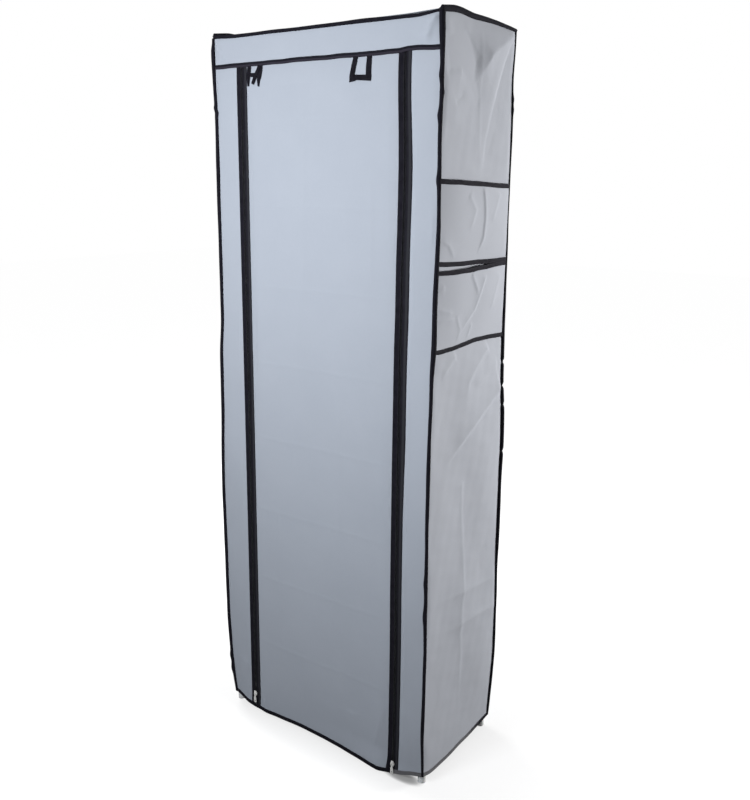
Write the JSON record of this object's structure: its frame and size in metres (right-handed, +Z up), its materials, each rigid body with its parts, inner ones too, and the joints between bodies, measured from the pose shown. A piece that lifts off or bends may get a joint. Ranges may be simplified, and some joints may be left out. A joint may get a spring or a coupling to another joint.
{
  "type": "portable fabric wardrobe",
  "caption": "Tall narrow zip-up fabric wardrobe: a light tube rack of cloth shelves under a grey cover with dark piping, a front door with a zip each side and side pockets.",
  "frame": {"origin": "on the floor, under the middle of the rack", "axes": "+Z up, -Y towards the front with the zips, +X towards the side with the pockets"},
  "size_m": [0.5886, 0.3005, 1.6],
  "materials": {
    "cover_cloth": "matt grey non-woven cloth",
    "shelf_cloth": "matt grey non-woven cloth",
    "black_binding": "near-black folded tape",
    "zip_tape": "black woven zip tape with a nylon coil",
    "frame_tube": "pale grey coated thin steel tube",
    "bracket_plastic": "off-white moulded plastic",
    "slider_metal": "bright plated metal"
  },
  "bodies": {
    "rack_and_cover": {"front_ladder": "frame_tube", "back_ladder": "frame_tube", "bracket_left_01": "bracket_plastic", "bracket_left_02": "bracket_plastic", "bracket_left_03": "bracket_plastic", "bracket_left_04": "bracket_plastic", "bracket_left_05": "bracket_plastic", "bracket_left_06": "bracket_plastic", "bracket_left_07": "bracket_plastic", "bracket_left_08": "bracket_plastic", "bracket_left_09": "bracket_plastic", "bracket_left_10": "bracket_plastic", "bracket_right_01": "bracket_plastic", "bracket_right_02": "bracket_plastic", "bracket_right_03": "bracket_plastic", "bracket_right_04": "bracket_plastic", "bracket_right_05": "bracket_plastic", "bracket_right_06": "bracket_plastic", "bracket_right_07": "bracket_plastic", "bracket_right_08": "bracket_plastic", "bracket_right_09": "bracket_plastic", "bracket_right_10": "bracket_plastic", "shelf_01": "shelf_cloth", "shelf_02": "shelf_cloth", "shelf_03": "shelf_cloth", "shelf_04": "shelf_cloth", "shelf_05": "shelf_cloth", "shelf_06": "shelf_cloth", "shelf_07": "shelf_cloth", "shelf_08": "shelf_cloth", "shelf_09": "shelf_cloth", "shelf_10": "shelf_cloth", "back_panel": "cover_cloth", "left_panel": "cover_cloth", "right_panel": "cover_cloth", "top_panel": "cover_cloth", "valance": "cover_cloth", "front_strip_left": "cover_cloth", "front_strip_right": "cover_cloth", "pocket_upper": "cover_cloth", "pocket_lower": "cover_cloth", "edge_binding": "black_binding", "valance_binding": "black_binding", "pocket_binding_top": "black_binding", "pocket_binding_middle": "black_binding", "pocket_binding_bottom": "black_binding", "zip_tape_left": "zip_tape", "zip_tape_right": "zip_tape"},
    "door_upper": {"door_upper": "cover_cloth"},
    "door_middle": {"door_middle": "cover_cloth"},
    "door_lower": {"door_lower": "cover_cloth", "door_tape_left": "zip_tape", "door_tape_right": "zip_tape", "door_hem": "black_binding"},
    "loop_left": {"loop_left": "black_binding"},
    "loop_right": {"loop_right": "black_binding"},
    "slider_left": {"slider_left": "slider_metal"},
    "slider_right": {"slider_right": "slider_metal"},
    "pull_left": {"pull_left": "slider_metal"},
    "pull_right": {"pull_right": "slider_metal"}
  },
  "joints": [
    {"name": "door_lift", "type": "hinge", "parent": "rack_and_cover", "child": "door_upper", "pos_m": [0, -0.14802, 1.52703], "axis": [-1, 0, 0], "range_deg": [0, 179]},
    {"name": "door_fold_top", "type": "hinge", "parent": "door_upper", "child": "door_middle", "pos_m": [0, -0.14239, 1.447], "axis": [-1, 0, 0], "range_deg": [0, 90]},
    {"name": "door_fold_back", "type": "hinge", "parent": "door_middle", "child": "door_lower", "pos_m": [0, -0.1438, 1.137], "axis": [-1, 0, 0], "range_deg": [0, 90]},
    {"name": "loop_left_swing", "type": "hinge", "parent": "rack_and_cover", "child": "loop_left", "pos_m": [0, -0.14802, 1.52703], "axis": [-1, 0, 0], "range_deg": [0, 179]},
    {"name": "loop_right_swing", "type": "hinge", "parent": "rack_and_cover", "child": "loop_right", "pos_m": [0, -0.14802, 1.52703], "axis": [-1, 0, 0], "range_deg": [0, 179]},
    {"name": "slider_left_slide", "type": "slide", "parent": "rack_and_cover", "child": "slider_left", "axis": [0, 0.0046, 1], "range_m": [0, 1.454]},
    {"name": "slider_right_slide", "type": "slide", "parent": "rack_and_cover", "child": "slider_right", "axis": [0, 0.0046, 1], "range_m": [0, 1.473]},
    {"name": "pull_left_hinge", "type": "hinge", "parent": "slider_left", "child": "pull_left", "pos_m": [-0.21, -0.15324, 0.04604], "axis": [-1, 0, 0], "range_deg": [0, 150]},
    {"name": "pull_right_hinge", "type": "hinge", "parent": "slider_right", "child": "pull_right", "pos_m": [0.21, -0.15333, 0.02704], "axis": [-1, 0, 0], "range_deg": [0, 150]}
  ],
  "couplings": [
    {"joint": "loop_left_swing", "follows": "door_lift", "ratio": 1},
    {"joint": "loop_right_swing", "follows": "door_lift", "ratio": 1}
  ]
}
